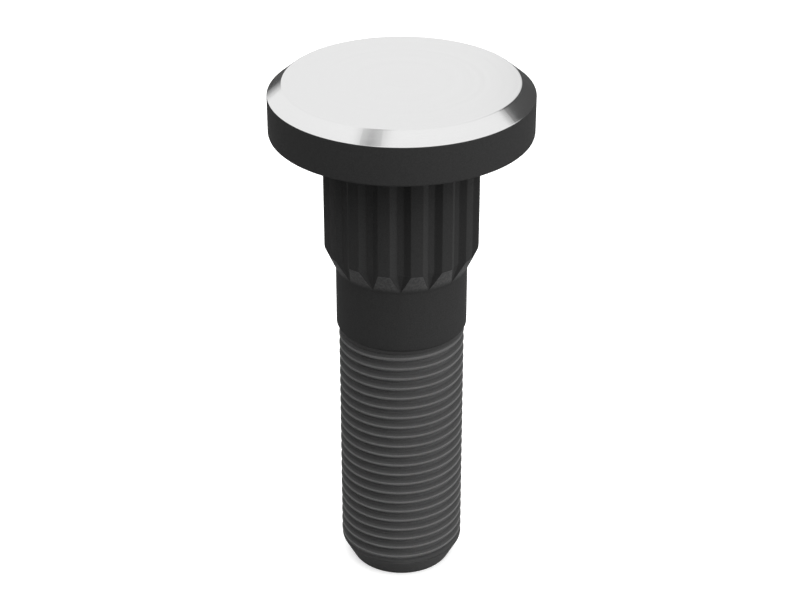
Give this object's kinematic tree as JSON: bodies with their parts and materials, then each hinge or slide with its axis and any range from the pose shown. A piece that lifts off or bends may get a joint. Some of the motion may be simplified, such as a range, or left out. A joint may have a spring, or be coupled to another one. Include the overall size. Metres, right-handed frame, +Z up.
{
  "type": "wheel stud",
  "caption": "Pressed-in wheel stud: a flat round head with a chamfered rim, a splined neck, a plain shoulder and a long fine-threaded shank that carries the wheel nut.",
  "frame": {"origin": "centre of the flat of the threaded end, which is the lowest face of the stud", "axes": "+Z up the axis, from the threaded end to the head"},
  "size_m": [0.0282, 0.0282, 0.0591],
  "materials": {
    "dark_steel": "black phosphate coating on steel, satin, with the top of the head machined bright"
  },
  "bodies": {
    "root": {"wheel_stud": "dark_steel"}
  },
  "joints": []
}
